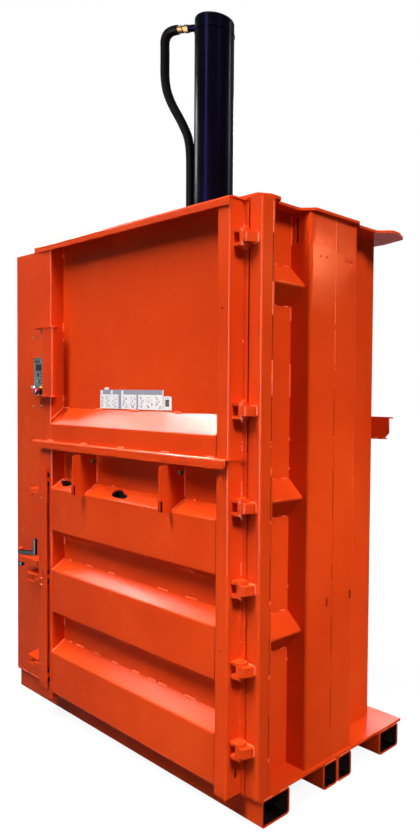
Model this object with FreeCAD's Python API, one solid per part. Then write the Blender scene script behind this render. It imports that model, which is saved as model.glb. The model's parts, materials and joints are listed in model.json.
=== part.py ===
import FreeCAD, Part
import math
import os

os.makedirs("parts", exist_ok=True)

# ---------------------------------------------------------------------------
# Upright hydraulic baling press.  All sizes in millimetres.
# Layout frame: X = 0 is the right outer face of the body, Y = 0 is the plane
# of the door back sheets and of the post fronts (the front looks to -Y),
# Z = 0 is the ground.  Every piece is moved by SHIFT when it is saved, which
# puts the origin under the middle of the base.
# ---------------------------------------------------------------------------

V = FreeCAD.Vector

# --- overall ---------------------------------------------------------------
body_width = 1550.0
body_height = 2200.0
body_middle = body_width / 2.0
cab_width = 316.0
cab_gap = 2.0
cab_right = body_width + cab_gap
cab_left = cab_right + cab_width
base_overhang = 12.0
base_length = cab_left + base_overhang
beam_height = 100.0
floor_thick = 10.0
wall_thick = 6.0
seam_gap = 1.3

# --- base beams: back and front edge of each -------------------------------
front_beam = (21.0, 151.0)
middle_beam_a = (325.5, 404.5)
middle_beam_b = (405.5, 484.5)
rear_beam = (662.0, 787.0)
beam_wall = 6.0
beam_corner = 13.0

# --- plan of the body ------------------------------------------------------
post_width = 70.0
post_depth = 60.0
post_seam = 48.0
wall_inset = 119.0
column_inset = 13.5
column_front = 240.0
column_seam = 373.5
column_rear = 497.0
rear_inset = 130.0
chamber_depth = 726.0
bend_inside = 3.0
jamb_front = 7.0

# --- side stiffeners (top, ridge, foot) ------------------------------------
stiffener_ridge = 79.0
top_stiffener = (body_height - 199.0, body_height - 274.0, body_height - 347.0)
stiffener_heights = (top_stiffener, (1207.0, 1140.0, 1066.0), (705.0, 638.0, 562.0))

# --- top plate -------------------------------------------------------------
top_thick = 10.0

# --- doors -----------------------------------------------------------------
door_depth = 60.0
door_sheet = 5.0
door_gap = 2.0
door_flange = 25.0
stile_right_width = 69.0
stile_left_x = body_width - 83.0
stile_left_width = 85.0
lower_left_x = body_width - 64.0
lower_left_width = 114.0
door_split = 1298.0
cap_top = 1289.0
cap_low = 1261.0
door_bottom = 105.0
shelf_reach = 78.0
shelf_lip = 35.0
lip_thick = 6.0
top_plate_door = body_height - 4.0
top_lip = 31.0
top_lip_reach = 66.0
rail_top_back = 1449.0
rail_top_front = 1375.0
channel_heights = ((1122.0, 1080.0, 888.0, 846.0), (747.0, 703.0, 513.0, 469.0), (367.0, 321.0, 135.0, 105.0))

# --- hinges ----------------------------------------------------------------
hinge_x = 62.0
hinge_y = 24.0
upper_hinges = (body_height - 145.0, 1465.0)
lower_hinges = (1131.0, 847.0, 564.0, 280.0)
barrel_radius = 19.3
barrel_height = 34.0
leaf_thick = 12.0
leaf_clear = 0.3
pin_radius = 10.0
pin_fit = 0.06

# --- cylinder and ram ------------------------------------------------------
cyl_x = body_middle + 7.0
cyl_y = 380.0
cyl_radius = 85.5
cyl_bore = 70.0
collar_rim = 5.0
cyl_foot = body_height - 90.0
cyl_top = 3188.0
cyl_joint = cyl_top - 62.0
rod_radius = 45.0
ram_fit = 0.06
gland_top = body_height - 20.0
piston_low = cyl_joint - 76.0
piston_height = 60.0
platen_low = body_height - 255.0
platen_top = body_height - 105.0
platen_side_gap = 28.0

# --- hose, in the upright plane through the cylinder axis -------------------
hose_dir = (-0.9, -0.436)
hose_radius = 20.0
port_z = cyl_top - 21.0
hose_foot = body_height + 100.0
hose_rise = port_z - hose_foot
hose_path = (
    (178.0, 1.0),
    (215.0, 1.0),
    (246.0, 0.96424),
    (244.0, 0.88581),
    (245.0, 0.73241),
    (218.0, 0.63437),
    (150.0, 0.50750),
    (115.0, 0.40946),
    (113.0, 0.20761),
    (113.0, 0.0),
)
hose_points = [(reach, hose_foot + share * hose_rise) for reach, share in hose_path]

# --- cabinet ---------------------------------------------------------------
cab_depth = 600.0
cab_top = body_height - 2.0
cab_sheet = 3.0

# --- door lock -------------------------------------------------------------
lock_levels = ((1062.0, 1024.0), (658.0, 617.0), (259.0, 218.0))
lock_front = 75.0
lock_thick = 6.0
lock_left = body_width - 82.0
lock_right = body_width - 157.0
lock_low = 150.0
lock_high = 1171.0
lock_axis_x = body_width - 153.0
lock_axis_y = 64.5
lug_thick = 6.0
keeper_x = body_width - 48.0
keeper_y = 34.0
keeper_radius = 6.0

# --- lock lever ------------------------------------------------------------
lever_x = body_width + 147.0
lever_y = 53.0
arm_reach = 79.0
arm_turn = 23.0
lever_shelf = (697.0, 725.0)

mirror_x = -body_middle
floor_top = beam_height + floor_thick
SHIFT = V(base_length / 2.0, -(middle_beam_b[0] + middle_beam_b[1]) / 2.0, 0)


# ---------------------------------------------------------------------------
# Shape helpers
# ---------------------------------------------------------------------------
def save(name, shapes):
    """Move the pieces of one node into the common frame and save them."""
    moved = [shape.copy() for shape in shapes]
    for shape in moved:
        shape.translate(SHIFT)
    whole = moved[0] if len(moved) == 1 else Part.makeCompound(moved)
    whole.exportStep("parts/" + name + ".step")


def place(plane, a, b, at):
    if plane == "XY":
        return V(a, b, at)
    if plane == "XZ":
        return V(a, at, b)
    return V(at, a, b)


def outline(points, plane, at):
    """Closed wire through (a, b) or (a, b, corner radius) points."""
    count = len(points)
    edges = []
    runs = []
    for i in range(count):
        here = points[i]
        before = points[i - 1]
        after = points[(i + 1) % count]
        radius = here[2] if len(here) > 2 else 0.0
        if radius <= 0:
            runs.append(((here[0], here[1]), None, (here[0], here[1])))
            continue
        ux, uy = before[0] - here[0], before[1] - here[1]
        wx, wy = after[0] - here[0], after[1] - here[1]
        ul = math.hypot(ux, uy)
        wl = math.hypot(wx, wy)
        ux, uy, wx, wy = ux / ul, uy / ul, wx / wl, wy / wl
        half = math.acos(max(-1.0, min(1.0, ux * wx + uy * wy))) / 2.0
        back = radius / math.tan(half)
        bx, by = ux + wx, uy + wy
        bl = math.hypot(bx, by)
        deep = radius / math.sin(half) - radius
        start = (here[0] + ux * back, here[1] + uy * back)
        middle = (here[0] + bx / bl * deep, here[1] + by / bl * deep)
        end = (here[0] + wx * back, here[1] + wy * back)
        runs.append((start, middle, end))
    for i in range(count):
        start, middle, end = runs[i]
        if middle is not None:
            one = place(plane, start[0], start[1], at)
            two = place(plane, middle[0], middle[1], at)
            three = place(plane, end[0], end[1], at)
            edges.append(Part.Arc(one, two, three).toShape())
        nxt = runs[(i + 1) % count][0]
        if math.hypot(nxt[0] - end[0], nxt[1] - end[1]) > 1e-6:
            one = place(plane, end[0], end[1], at)
            two = place(plane, nxt[0], nxt[1], at)
            edges.append(Part.LineSegment(one, two).toShape())
    return Part.Wire(edges)


def prism(points, plane, start, end):
    """Straight body on a closed outline, from start to end along the third axis."""
    face = Part.Face(outline(points, plane, start))
    return face.extrude(place(plane, 0, 0, end - start))


def sheet(path, thick, plane, start, end, inside=bend_inside):
    """Bent sheet: path lies on one face, the metal is to its left (thick > 0)."""
    count = len(path)
    dirs = []
    for i in range(count - 1):
        dx = path[i + 1][0] - path[i][0]
        dy = path[i + 1][1] - path[i][1]
        size = math.hypot(dx, dy)
        dirs.append((dx / size, dy / size))
    near = []
    far = []
    metal = abs(thick)
    for i in range(count):
        first = dirs[max(i - 1, 0)]
        last = dirs[min(i, count - 2)]
        nx = -(first[1] + last[1])
        ny = first[0] + last[0]
        scale = thick / (1.0 + first[0] * last[0] + first[1] * last[1])
        px, py = path[i]
        if i == 0 or i == count - 1:
            near.append((px, py))
            far.append((px + nx * scale, py + ny * scale))
            continue
        turn = first[0] * last[1] - first[1] * last[0]
        near_inner = (turn > 0) != (thick > 0)
        near.append((px, py, inside if near_inner else inside + metal))
        far.append((px + nx * scale, py + ny * scale, inside + metal if near_inner else inside))
    return prism(near + far[::-1], plane, start, end)


def block(x0, x1, y0, y1, z0, z1):
    return Part.makeBox(x1 - x0, y1 - y0, z1 - z0, V(x0, y0, z0))


def rod_z(x, y, z0, z1, radius):
    return Part.makeCylinder(radius, z1 - z0, V(x, y, z0), V(0, 0, 1))


def rod_y(x, z, y0, y1, radius):
    return Part.makeCylinder(radius, y1 - y0, V(x, y0, z), V(0, 1, 0))


def rod_x(y, z, x0, x1, radius):
    return Part.makeCylinder(radius, x1 - x0, V(x0, y, z), V(1, 0, 0))


def turned_z(x, y, profile):
    """Solid of revolution about an upright axis from (radius, height) points."""
    points = [V(x + r, y, z) for r, z in profile]
    points.append(points[0])
    face = Part.Face(Part.makePolygon(points))
    return face.revolve(V(x, y, 0), V(0, 0, 1), 360)


def turned_y(x, z, profile):
    """Solid of revolution about a front-to-back axis from (radius, depth) points."""
    points = [V(x + r, y, z) for r, y in profile]
    points.append(points[0])
    face = Part.Face(Part.makePolygon(points))
    return face.revolve(V(x, 0, z), V(0, 1, 0), 360)


def mirrored(shape):
    return shape.mirror(V(mirror_x, 0, 0), V(1, 0, 0))


def box_tube(y0, y1, z0, z1, x0, x1, wall, corner):
    outer = [(y0, z0, corner), (y1, z0, corner), (y1, z1, corner), (y0, z1, corner)]
    small = corner - wall
    inner = [(y0 + wall, z0 + wall, small), (y1 - wall, z0 + wall, small)]
    inner += [(y1 - wall, z1 - wall, small), (y0 + wall, z1 - wall, small)]
    solid = prism(outer, "YZ", x0, x1)
    return solid.cut(prism(inner, "YZ", x0 - 1, x1 + 1))


def slot_x(y, z0, z1, width, x0, x1):
    """Upright slot with round ends, cut along X."""
    r = width / 2.0
    pts = [(y - r, z0, r * 0.999), (y + r, z0, r * 0.999), (y + r, z1, r * 0.999), (y - r, z1, r * 0.999)]
    return prism(pts, "YZ", x0, x1)


def slot_y(x, z0, z1, width, y0, y1):
    """Upright slot with round ends, cut along Y."""
    r = width / 2.0
    pts = [(x - r, z0, r * 0.999), (x + r, z0, r * 0.999), (x + r, z1, r * 0.999), (x - r, z1, r * 0.999)]
    return prism(pts, "XZ", y0, y1)


# ---------------------------------------------------------------------------
# Base: four rectangular tubes and the floor plate
# ---------------------------------------------------------------------------
left_end = -base_length
base_tubes = []
for edges in (front_beam, middle_beam_a, middle_beam_b, rear_beam):
    base_tubes.append(box_tube(*edges, 0, beam_height, left_end, 0, beam_wall, beam_corner))
save("base_beams", base_tubes)
floor_front = door_sheet + 1.0
floor_rear = rear_beam[1] + 19.0
save("floor_plate", [block(left_end + 6, 0, floor_front, floor_rear, beam_height, floor_top)])

# ---------------------------------------------------------------------------
# Body sides: post, jamb, side panel, column, stiffeners, rear panel
# ---------------------------------------------------------------------------
post_path = [(-post_width, post_depth - wall_thick), (-post_width, 0), (0, 0), (0, post_seam - seam_gap / 2)]
right_post = sheet(post_path, wall_thick, "XY", floor_top, body_height)
inner_wall = -(wall_inset + wall_thick)
jamb_path = [(-post_width - 0.0, jamb_front), (inner_wall, jamb_front), (inner_wall, post_depth - wall_thick)]
right_jamb = sheet(jamb_path, -wall_thick, "XY", floor_top, body_height)
panel_path = [(0, post_seam + seam_gap / 2), (0, post_depth), (-wall_inset, post_depth)]
panel_path.append((-wall_inset, column_rear - wall_thick))
right_panel = sheet(panel_path, wall_thick, "XY", floor_top, body_height)

front_path = [(-wall_inset, column_front), (-column_inset, column_front), (-column_inset, column_seam - seam_gap / 2)]
column_a = sheet(front_path, wall_thick, "XY", floor_top, body_height, 6.0)
rear_path = [(-column_inset, column_seam + seam_gap / 2), (-column_inset, column_rear)]
rear_path.append((-rear_inset - wall_thick, column_rear))
column_b = sheet(rear_path, wall_thick, "XY", floor_top, body_height, 6.0)
side_out = -column_inset + 1
side_in = -column_inset - wall_thick - 1
plain_a = column_a.copy()
plain_b = column_b.copy()
for hole_y, drop in ((289.0, 158.0), (324.0, 157.0)):
    column_a = column_a.cut(rod_x(hole_y, body_height - drop, side_in, side_out, 3.2))
for hole_y, drop in ((425.0, 155.0), (459.0, 154.0)):
    column_b = column_b.cut(rod_x(hole_y, body_height - drop, side_in, side_out, 3.2))
column_a = column_a.cut(slot_x(344.0, 709.0, 745.0, 9.0, side_in, side_out))
column_b = column_b.cut(slot_x(477.0, 712.0, 748.0, 9.0, side_in, side_out))
flange_back = column_front + wall_thick + 1
column_a = column_a.cut(slot_y(-86.0, body_height - 110.0, body_height - 17.0, 12.0, column_front - 1, flange_back))
rear_panel_face = -rear_inset
right_rear = block(rear_panel_face - wall_thick, rear_panel_face, column_rear, chamber_depth, floor_top, body_height)

save("column_channels", [column_a, column_b, mirrored(plain_a), mirrored(plain_b)])


def stiffener(top, ridge, foot):
    """Bent plate of triangular section standing off the side panel."""
    wall = -wall_inset
    tip = wall + stiffener_ridge
    rise = (top - ridge) / stiffener_ridge
    fall = (ridge - foot) / stiffener_ridge
    upper = top - wall_thick * math.hypot(1.0, rise)
    lower = foot + wall_thick * math.hypot(1.0, fall)
    reach = (upper - lower) / (rise + fall)
    pts = [(wall, top), (tip, ridge, 9.0), (wall, foot), (wall, lower)]
    pts += [(wall + reach, lower + fall * reach, 3.0), (wall, upper)]
    relief = [(wall - 1, post_depth - 1), (wall + bend_inside + 1, post_depth - 1)]
    relief.append((wall - 1, post_depth + bend_inside + 1))
    return prism(pts, "XZ", post_depth, column_front).cut(prism(relief, "XY", foot - 1, top + 1))


right_set = [stiffener(*heights) for heights in stiffener_heights]
save("side_stiffeners", right_set + [mirrored(shape) for shape in right_set])

# pipes that run inside, used for the holes they need
pipe_radius = 11.0
pipe_hole = pipe_radius + 3.0
pressure_y = 130.0
return_y = 185.0
pipe_z = body_height - 50.0
left_panel = mirrored(right_panel)
for pipe_y in (pressure_y, return_y):
    left_panel = left_panel.cut(rod_x(pipe_y, pipe_z, -body_width, -body_width + 200, pipe_hole))
save("side_panels", [right_panel, left_panel])

rear_x0 = -body_width + rear_inset
rear_wall = block(rear_x0, -rear_inset, chamber_depth, chamber_depth + wall_thick, floor_top, body_height)
save("rear_panels", [rear_wall, right_rear, mirrored(right_rear)])

bracket_plate = prism(
    [(-210, 1339), (-62, 1341, 4), (-32, 1369, 4), (-34, 1437), (-210, 1437)],
    "XZ", chamber_depth + wall_thick, chamber_depth + 2 * wall_thick)
bracket_top = block(-210, -34, chamber_depth + 2 * wall_thick, chamber_depth + 38, 1431, 1437)
save("rear_bracket", [bracket_plate.fuse(bracket_top).removeSplitter()])

header_y = (jamb_front + wall_thick + 1.0, post_depth - wall_thick)
header_x = (-body_width - inner_wall, inner_wall)
header = box_tube(*header_y, body_height - 82.0, body_height - 2.0, *header_x, 5.0, 9.0)
save("front_frame", [right_post, mirrored(right_post), right_jamb, mirrored(right_jamb), header])

# ---------------------------------------------------------------------------
# Top plate with its scalloped edges
# ---------------------------------------------------------------------------
right_edge = [
    (-34, 4, 12), (-4, 40, 14), (-6, 88, 12), (-50, 112, 16), (-50, 218, 16), (4, 250, 12), (6, 486, 14),
    (-30, 522, 14), (-30, 634, 18), (27, 668, 16), (24, 716, 18), (-14, 790, 20), (-150, 822, 40),
]
left_edge = [(2 * mirror_x - x, y, r) for x, y, r in reversed(right_edge)]
plate = prism(right_edge + left_edge, "XY", body_height, body_height + top_thick)
plate = plate.cut(rod_z(-cyl_x, cyl_y, body_height - 1, body_height + top_thick + 1, cyl_radius + 0.5))


def on_hose(s, z):
    return V(-cyl_x + hose_dir[0] * s, cyl_y + hose_dir[1] * s, z)


foot_s, foot_z = hose_points[-1]
foot_at = on_hose(foot_s, 0)
plate = plate.cut(rod_z(foot_at.x, foot_at.y, body_height - 1, body_height + top_thick + 1, 14.5))
save("top_plate", [plate])

# ---------------------------------------------------------------------------
# Cylinder
# ---------------------------------------------------------------------------
barrel = rod_z(-cyl_x, cyl_y, cyl_foot, cyl_joint, cyl_radius)
barrel = barrel.cut(rod_z(-cyl_x, cyl_y, cyl_foot - 1, cyl_joint + 1, cyl_bore))
port_low = body_height - 11.0
low_port = rod_y(-cyl_x, port_low, cyl_y - cyl_radius - 1, cyl_y - cyl_bore + 5, 9.0)
barrel = barrel.cut(low_port)
cap = turned_z(-cyl_x, cyl_y, [
    (0, cyl_joint), (cyl_radius + 2.5, cyl_joint), (cyl_radius + 2.5, cyl_joint + 6), (cyl_radius, cyl_joint + 9),
    (cyl_radius, cyl_top - 8), (cyl_radius - 2.5, cyl_top - 2.5), (cyl_radius - 8, cyl_top), (0, cyl_top)])
axis_dir = V(hose_dir[0], hose_dir[1], 0)
axis_dir.normalize()
port_hole = Part.makeCylinder(9.0, 60.0, on_hose(40, port_z), axis_dir)
cap = cap.cut(port_hole)
cap = cap.cut(rod_z(-cyl_x + axis_dir.x * 45, cyl_y + axis_dir.y * 45, cyl_joint - 1, port_z, 7.0))
save("cylinder_cap", [cap])
collar = turned_z(-cyl_x, cyl_y, [
    (cyl_radius - 5, body_height + top_thick), (cyl_radius + collar_rim, body_height + top_thick),
    (cyl_radius + collar_rim, body_height + top_thick + 6), (cyl_radius, body_height + top_thick + 16),
    (cyl_radius - 5, body_height + top_thick + 16)])
save("cylinder_barrel", [barrel.fuse(collar).removeSplitter()])
gland = turned_z(-cyl_x, cyl_y, [
    (rod_radius + ram_fit, cyl_foot), (cyl_bore - 0.05, cyl_foot), (cyl_bore - 0.05, gland_top),
    (rod_radius + ram_fit, gland_top)])
save("cylinder_gland", [gland])

# ---------------------------------------------------------------------------
# Ram: piston, rod, platen
# ---------------------------------------------------------------------------
save("piston", [rod_z(-cyl_x, cyl_y, piston_low, piston_low + piston_height, cyl_bore - ram_fit)])
save("piston_rod", [rod_z(-cyl_x, cyl_y, platen_top, piston_low, rod_radius)])
platen_x0 = -body_width - inner_wall + platen_side_gap
platen_x1 = inner_wall - platen_side_gap
platen_y0 = 27.0
platen_y1 = chamber_depth - 14.0
tray = block(platen_x0, platen_x1, platen_y0, platen_y1, platen_low, platen_low + 100)
tray = tray.cut(block(platen_x0 + 8, platen_x1 - 8, platen_y0 + 8, platen_y1 - 8, platen_low + 15, platen_low + 101))
save("platen_face", [tray])
beams = []
for beam_y in (cyl_y - 75.0, cyl_y + 75.0):
    beams.append(box_tube(beam_y - 35, beam_y + 35, platen_low + 15, platen_top - 20,
                          platen_x0 + 30, platen_x1 - 30, 6.0, 10.0))
beams.append(block(-cyl_x - 110, -cyl_x + 110, cyl_y - 110, cyl_y + 110, platen_top - 20, platen_top))
save("platen_beams", beams)
pads = []
for pad_x0 in (platen_x0 - 12, platen_x1):
    for pad_y in (platen_y0 + 60, platen_y1 - 140):
        pads.append(block(pad_x0, pad_x0 + 12, pad_y, pad_y + 80, platen_low + 8, platen_low + 92))
save("platen_guides", pads)

# ---------------------------------------------------------------------------
# Hose and its fittings
# ---------------------------------------------------------------------------
def along(s0, s1, radius, z=port_z):
    return Part.makeCylinder(radius, s1 - s0, on_hose(s0, z), axis_dir)


seat = cyl_radius - 0.4
port = along(seat, 127.0, 15.0)
port = port.cut(rod_z(-cyl_x, cyl_y, port_z - 40, port_z + 40, cyl_radius))
port = port.cut(along(60, 128.0, 8.0))
save("hose_port", [port])


def hex_along(s0, s1, across):
    """Hexagonal nut on the port axis."""
    corner = across / math.sqrt(3.0)
    side = V(-axis_dir.y, axis_dir.x, 0)
    pts = []
    for k in range(7):
        angle = math.radians(60.0 * k)
        pts.append(on_hose(s0, port_z) + side * (corner * math.cos(angle)) + V(0, 0, corner * math.sin(angle)))
    return Part.Face(Part.makePolygon(pts)).extrude(axis_dir * (s1 - s0))


def turned_on(start, direction, profile):
    """Solid of revolution about a line from start, from (radius, distance) points."""
    side = direction.cross(V(0, 0, 1))
    if side.Length < 0.01:
        side = V(1, 0, 0)
    side.normalize()
    pts = [start + side * r + direction * d for r, d in profile]
    pts.append(pts[0])
    face = Part.Face(Part.makePolygon(pts))
    return face.revolve(start, direction, 360)


hose_nut = hex_along(127.0, 147.0, 30.0).cut(along(126.0, 148.0, 8.0))
ferrule_top = turned_on(on_hose(147.0, port_z), axis_dir, [
    (8, 0), (13, 0), (13, 6), (16, 8), (16, 31), (8, 31)])
foot_dir = V(0, 0, 1)
base_z = body_height + top_thick
ferrule_low = turned_on(on_hose(foot_s, 0), foot_dir, [
    (8, base_z + 22), (14, base_z + 22), (14, base_z + 40), (18, base_z + 44), (18, foot_z), (8, foot_z)])
bulkhead = turned_on(on_hose(foot_s, 0), foot_dir, [
    (8, pipe_z + 26), (14, pipe_z + 26), (14, base_z), (22, base_z), (22, base_z + 22), (8, base_z + 22)])
save("hose_couplings", [hose_nut, ferrule_top, ferrule_low, bulkhead])


def bent_wire(points, report, share=0.45):
    """Straight runs joined by tangent arcs through the given points."""
    edges = []
    last = points[0]
    for i in range(1, len(points) - 1):
        here = points[i]
        back = points[i - 1] - here
        ahead = points[i + 1] - here
        short = min(back.Length, ahead.Length)
        back.normalize()
        ahead.normalize()
        turn = math.pi - math.acos(max(-1.0, min(1.0, back.dot(ahead))))
        cut = share * short
        radius = cut / math.tan(turn / 2.0)
        report.append(radius)
        start = here + back * cut
        end = here + ahead * cut
        toward = back + ahead
        toward.normalize()
        deep = radius / math.cos(turn / 2.0) - radius
        edges.append(Part.LineSegment(last, start).toShape())
        edges.append(Part.Arc(start, here + toward * deep, end).toShape())
        last = end
    edges.append(Part.LineSegment(last, points[-1]).toShape())
    return Part.Wire(edges)


def sweep(wire, start, direction, radius):
    ring = Part.Wire([Part.makeCircle(radius, start, direction)])
    return wire.makePipeShell([ring], True, False)


radii = []
hose_line = [on_hose(s, z) for s, z in hose_points]
hose_wire = bent_wire(hose_line, radii)
hose = sweep(hose_wire, hose_line[0], hose_line[1] - hose_line[0], hose_radius)
print("hose length %.1f mm" % hose_wire.Length)
print("hose bend radii", [round(r, 1) for r in radii])
section = math.pi * hose_radius ** 2 * hose_wire.Length
print("hose volume / section x length %.5f" % (hose.Volume / section))
save("hose", [hose])

# ---------------------------------------------------------------------------
# Cabinet and the power pack inside it
# ---------------------------------------------------------------------------
cab_floor = floor_top
shell_path = [(-cab_right, cab_sheet), (-cab_right, cab_depth), (-cab_left, cab_depth), (-cab_left, cab_sheet)]
cab_shell = sheet(shell_path, cab_sheet, "XY", cab_floor, cab_top - cab_sheet)
for pipe_y in (pressure_y, return_y):
    cab_shell = cab_shell.cut(rod_x(pipe_y, pipe_z, -cab_right - 20, -cab_right + 5, pipe_hole))
cab_lid = block(-cab_left, -cab_right, 0, cab_depth, cab_top - cab_sheet, cab_top)
save("cabinet_shell", [cab_shell, cab_lid])
cab_front = prism([(-cab_left, 0, 2.4), (-cab_right, 0, 2.4), (-cab_right, cab_sheet), (-cab_left, cab_sheet)],
                  "XY", cab_floor, cab_top - cab_sheet)
screw_offsets = ((134.0, 1786.0), (51.0, 1778.0), (51.0, 1701.0), (131.0, 1450.0), (52.0, 1454.0))
screw_places = [(cab_right + sx, sz) for sx, sz in screw_offsets]
for sx, sz in screw_places:
    cab_front = cab_front.cut(rod_y(-sx, sz, -1, cab_sheet + 1, 3.2))

panel_x = (cab_right + 120.0, cab_right + 26.0)
panel_z = (1500.0, 1687.0)
panel_thick = 4.0
panel_face = -panel_thick
button_places = (("button_down", cab_right + 75.0, 1604.0), ("button_up", cab_right + 73.0, 1573.0))
stop_x = cab_right + 47.0
stop_z = 1526.0
key_x = cab_right + 99.0
key_z = 1546.0
control_bore = 6.06
control_stem = 6.0
panel_body = prism([(-panel_x[0], panel_z[0], 6), (-panel_x[1], panel_z[0], 6), (-panel_x[1], panel_z[1], 6),
                    (-panel_x[0], panel_z[1], 6)], "XZ", -panel_thick, 0)
hole_places = [(bx, bz) for name, bx, bz in button_places] + [(stop_x, stop_z), (key_x, key_z)]
for bx, bz in hole_places:
    panel_body = panel_body.cut(rod_y(-bx, bz, panel_face - 1, 1, 8.0))
    cab_front = cab_front.cut(rod_y(-bx, bz, -1, cab_sheet + 1, 8.0))
save("cabinet_front", [cab_front])
screws = []
for sx, sz in screw_places:
    screws.append(turned_y(-sx, sz, [(0, -4), (2, -4), (4.5, -2.6), (5.5, -0.01), (3, -0.01), (3, 9), (0, 9)]))
save("cabinet_screws", screws)
save("control_panel", [panel_body])
display_x0 = -(cab_right + 100.0)
display_x1 = -(cab_right + 44.0)
display_pts = [(display_x0, 1625.0, 2), (display_x1, 1625.0, 2), (display_x1, 1656.0, 2), (display_x0, 1656.0, 2)]
display = prism(display_pts, "XZ", panel_face - 1.5, panel_face)
save("display", [display])


def bezel(x, z, reach, rim, face=panel_face):
    """Ring on the panel with its sleeve through the sheet."""
    return turned_y(-x, z, [
        (control_bore, face - reach), (rim - 1, face - reach), (rim, face), (7.9, face), (7.9, 12), (control_bore, 12)])


bezels = []
for name, bx, bz in button_places:
    bezels.append(bezel(bx, bz, 3.0, 10.0))
    cap_piece = turned_y(-bx, bz, [
        (0, panel_face - 5), (5, panel_face - 5), (control_stem, panel_face - 4), (control_stem, 8), (0, 8)])
    save(name, [cap_piece])
bezels.append(bezel(key_x, key_z, 5.0, 9.0))
save("control_bezels", bezels)
plate_face = panel_face - 1.2
stop_plate = rod_y(-stop_x, stop_z + 8.0, plate_face, panel_face, 17.0)
stop_plate = stop_plate.cut(rod_y(-stop_x, stop_z, plate_face - 1, panel_face + 1, 8.0))
save("stop_plate", [stop_plate])
save("stop_collar", [bezel(stop_x, stop_z, 7.8, 17.0, plate_face)])
stop_head = turned_y(-stop_x, stop_z, [
    (0, -40), (9, -39.6), (14.5, -38), (17.4, -35), (18, -31), (17.6, -24), (16, -21.2), (12, -20.2),
    (control_stem, -20), (control_stem, 8), (0, 8)])
save("stop_button", [stop_head])
key_core = turned_y(-key_x, key_z, [(0, -18), (4.5, -18), (control_stem, -16), (control_stem, 8), (0, 8)])
key_wing = block(-key_x - 1.5, -key_x + 1.5, -28, -17.9, key_z - 6, key_z + 6)
save("key_switch", [key_core.fuse(key_wing).removeSplitter()])

tank_x0 = -(cab_left - 18.0)
tank_x1 = -(cab_right + 20.0)
tank = block(tank_x0, tank_x1, 60, 560, 130, 560)
tank = tank.cut(block(tank_x0 + 4, tank_x1 - 4, 64, 556, 134, 556))
tank_feet = [block(tank_x0 + 10, tank_x0 + 50, 80, 540, cab_floor, 130)]
tank_feet.append(block(tank_x1 - 48, tank_x1 - 8, 80, 540, cab_floor, 130))
save("oil_tank", [tank] + tank_feet)
motor_x = -(cab_right + 158.0)
pipe_x = -(cab_right + 58.0)
pump = rod_z(motor_x, 330, 560, 640, 60)
motor = turned_z(motor_x, 330, [(0, 640), (105, 640), (105, 655), (92, 660), (92, 900), (80, 915), (80, 960), (0, 960)])
valve_block = block(pipe_x - 30, pipe_x + 30, 100, 200, 560, 690)
save("power_pack", [pump, motor, valve_block])
box_back = cab_depth - cab_sheet
save("electric_box", [block(-(cab_left - 16.0), -(cab_right + 98.0), box_back - 210, box_back, 1200, 1640)])

# rigid pipes from the valve block to the cylinder
pressure_line = [V(pipe_x, pressure_y, 690), V(pipe_x, pressure_y, pipe_z)]
pressure_line += [V(foot_at.x, pressure_y, pipe_z), V(foot_at.x, foot_at.y, pipe_z)]
pressure_line += [V(foot_at.x, foot_at.y, pipe_z + 26)]


def piped(points, radius, bend):
    """Pipe of one bend radius through square corners."""
    edges = []
    last = points[0]
    for i in range(1, len(points) - 1):
        here = points[i]
        back = points[i - 1] - here
        ahead = points[i + 1] - here
        back.normalize()
        ahead.normalize()
        start = here + back * bend
        end = here + ahead * bend
        toward = back + ahead
        toward.normalize()
        middle = here + toward * (bend * (math.sqrt(2.0) - 1.0))
        if (start - last).Length > 1e-6:
            edges.append(Part.LineSegment(last, start).toShape())
        edges.append(Part.Arc(start, middle, end).toShape())
        last = end
    edges.append(Part.LineSegment(last, points[-1]).toShape())
    wire = Part.Wire(edges)
    return sweep(wire, points[0], points[1] - points[0], radius)


pressure_pipe = piped(pressure_line, pipe_radius, 25.0)
return_line = [V(pipe_x, return_y, 690), V(pipe_x, return_y, pipe_z), V(-cyl_x, return_y, pipe_z)]
return_line += [V(-cyl_x, return_y, pipe_z + 39)]
return_pipe = piped(return_line, pipe_radius, 18.0)
elbow = rod_y(-cyl_x, port_low, return_y - 14, cyl_y - cyl_radius + 0.0, 11.0)
elbow = elbow.cut(rod_z(-cyl_x, cyl_y, pipe_z, pipe_z + 80, cyl_radius))
save("oil_pipes", [pressure_pipe, return_pipe.fuse(elbow).removeSplitter()])

# ---------------------------------------------------------------------------
# Doors
# ---------------------------------------------------------------------------
flange_x = -(post_width + door_gap)
stile_out = flange_x - door_flange
stile_in = stile_out - stile_right_width
back_left = -body_width + post_width + door_gap
shelf_top = door_split
shelf_low = shelf_top - lip_thick

right_hat = [(flange_x, 0), (stile_out, 0), (stile_out, -door_depth), (stile_in, -door_depth), (stile_in, 0)]
upper_left_in = -stile_left_x + stile_left_width
left_hat = [(upper_left_in, 0), (upper_left_in, -door_depth), (-stile_left_x, -door_depth), (-stile_left_x, 0)]
upper_top = top_plate_door - lip_thick
upper_right_stile = sheet(right_hat, -door_sheet, "XY", shelf_top, upper_top)
upper_right_stile = upper_right_stile.cut(rod_y(-137.0, 1816.0, -door_depth - 1, -door_depth + door_sheet + 1, 5.0))
upper_left_stile = sheet(left_hat, -door_sheet, "XY", shelf_top, upper_top)
lip_relief = [(-door_depth - 1, upper_top + 1), (-door_depth + bend_inside + 1, upper_top + 1)]
lip_relief.append((-door_depth - 1, upper_top - bend_inside - 1))
lip_relief = prism(lip_relief, "YZ", -body_width, 0)
save("upper_door_stiles", [upper_right_stile.cut(lip_relief), upper_left_stile.cut(lip_relief)])
back_right = stile_out - door_sheet
save("upper_door_back", [block(back_left, back_right, 0, door_sheet, shelf_top, upper_top)])
rail_path = [(8, rail_top_back + 8 * 74 / 60.0), (-door_depth, rail_top_front), (-door_depth, shelf_top)]
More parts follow.
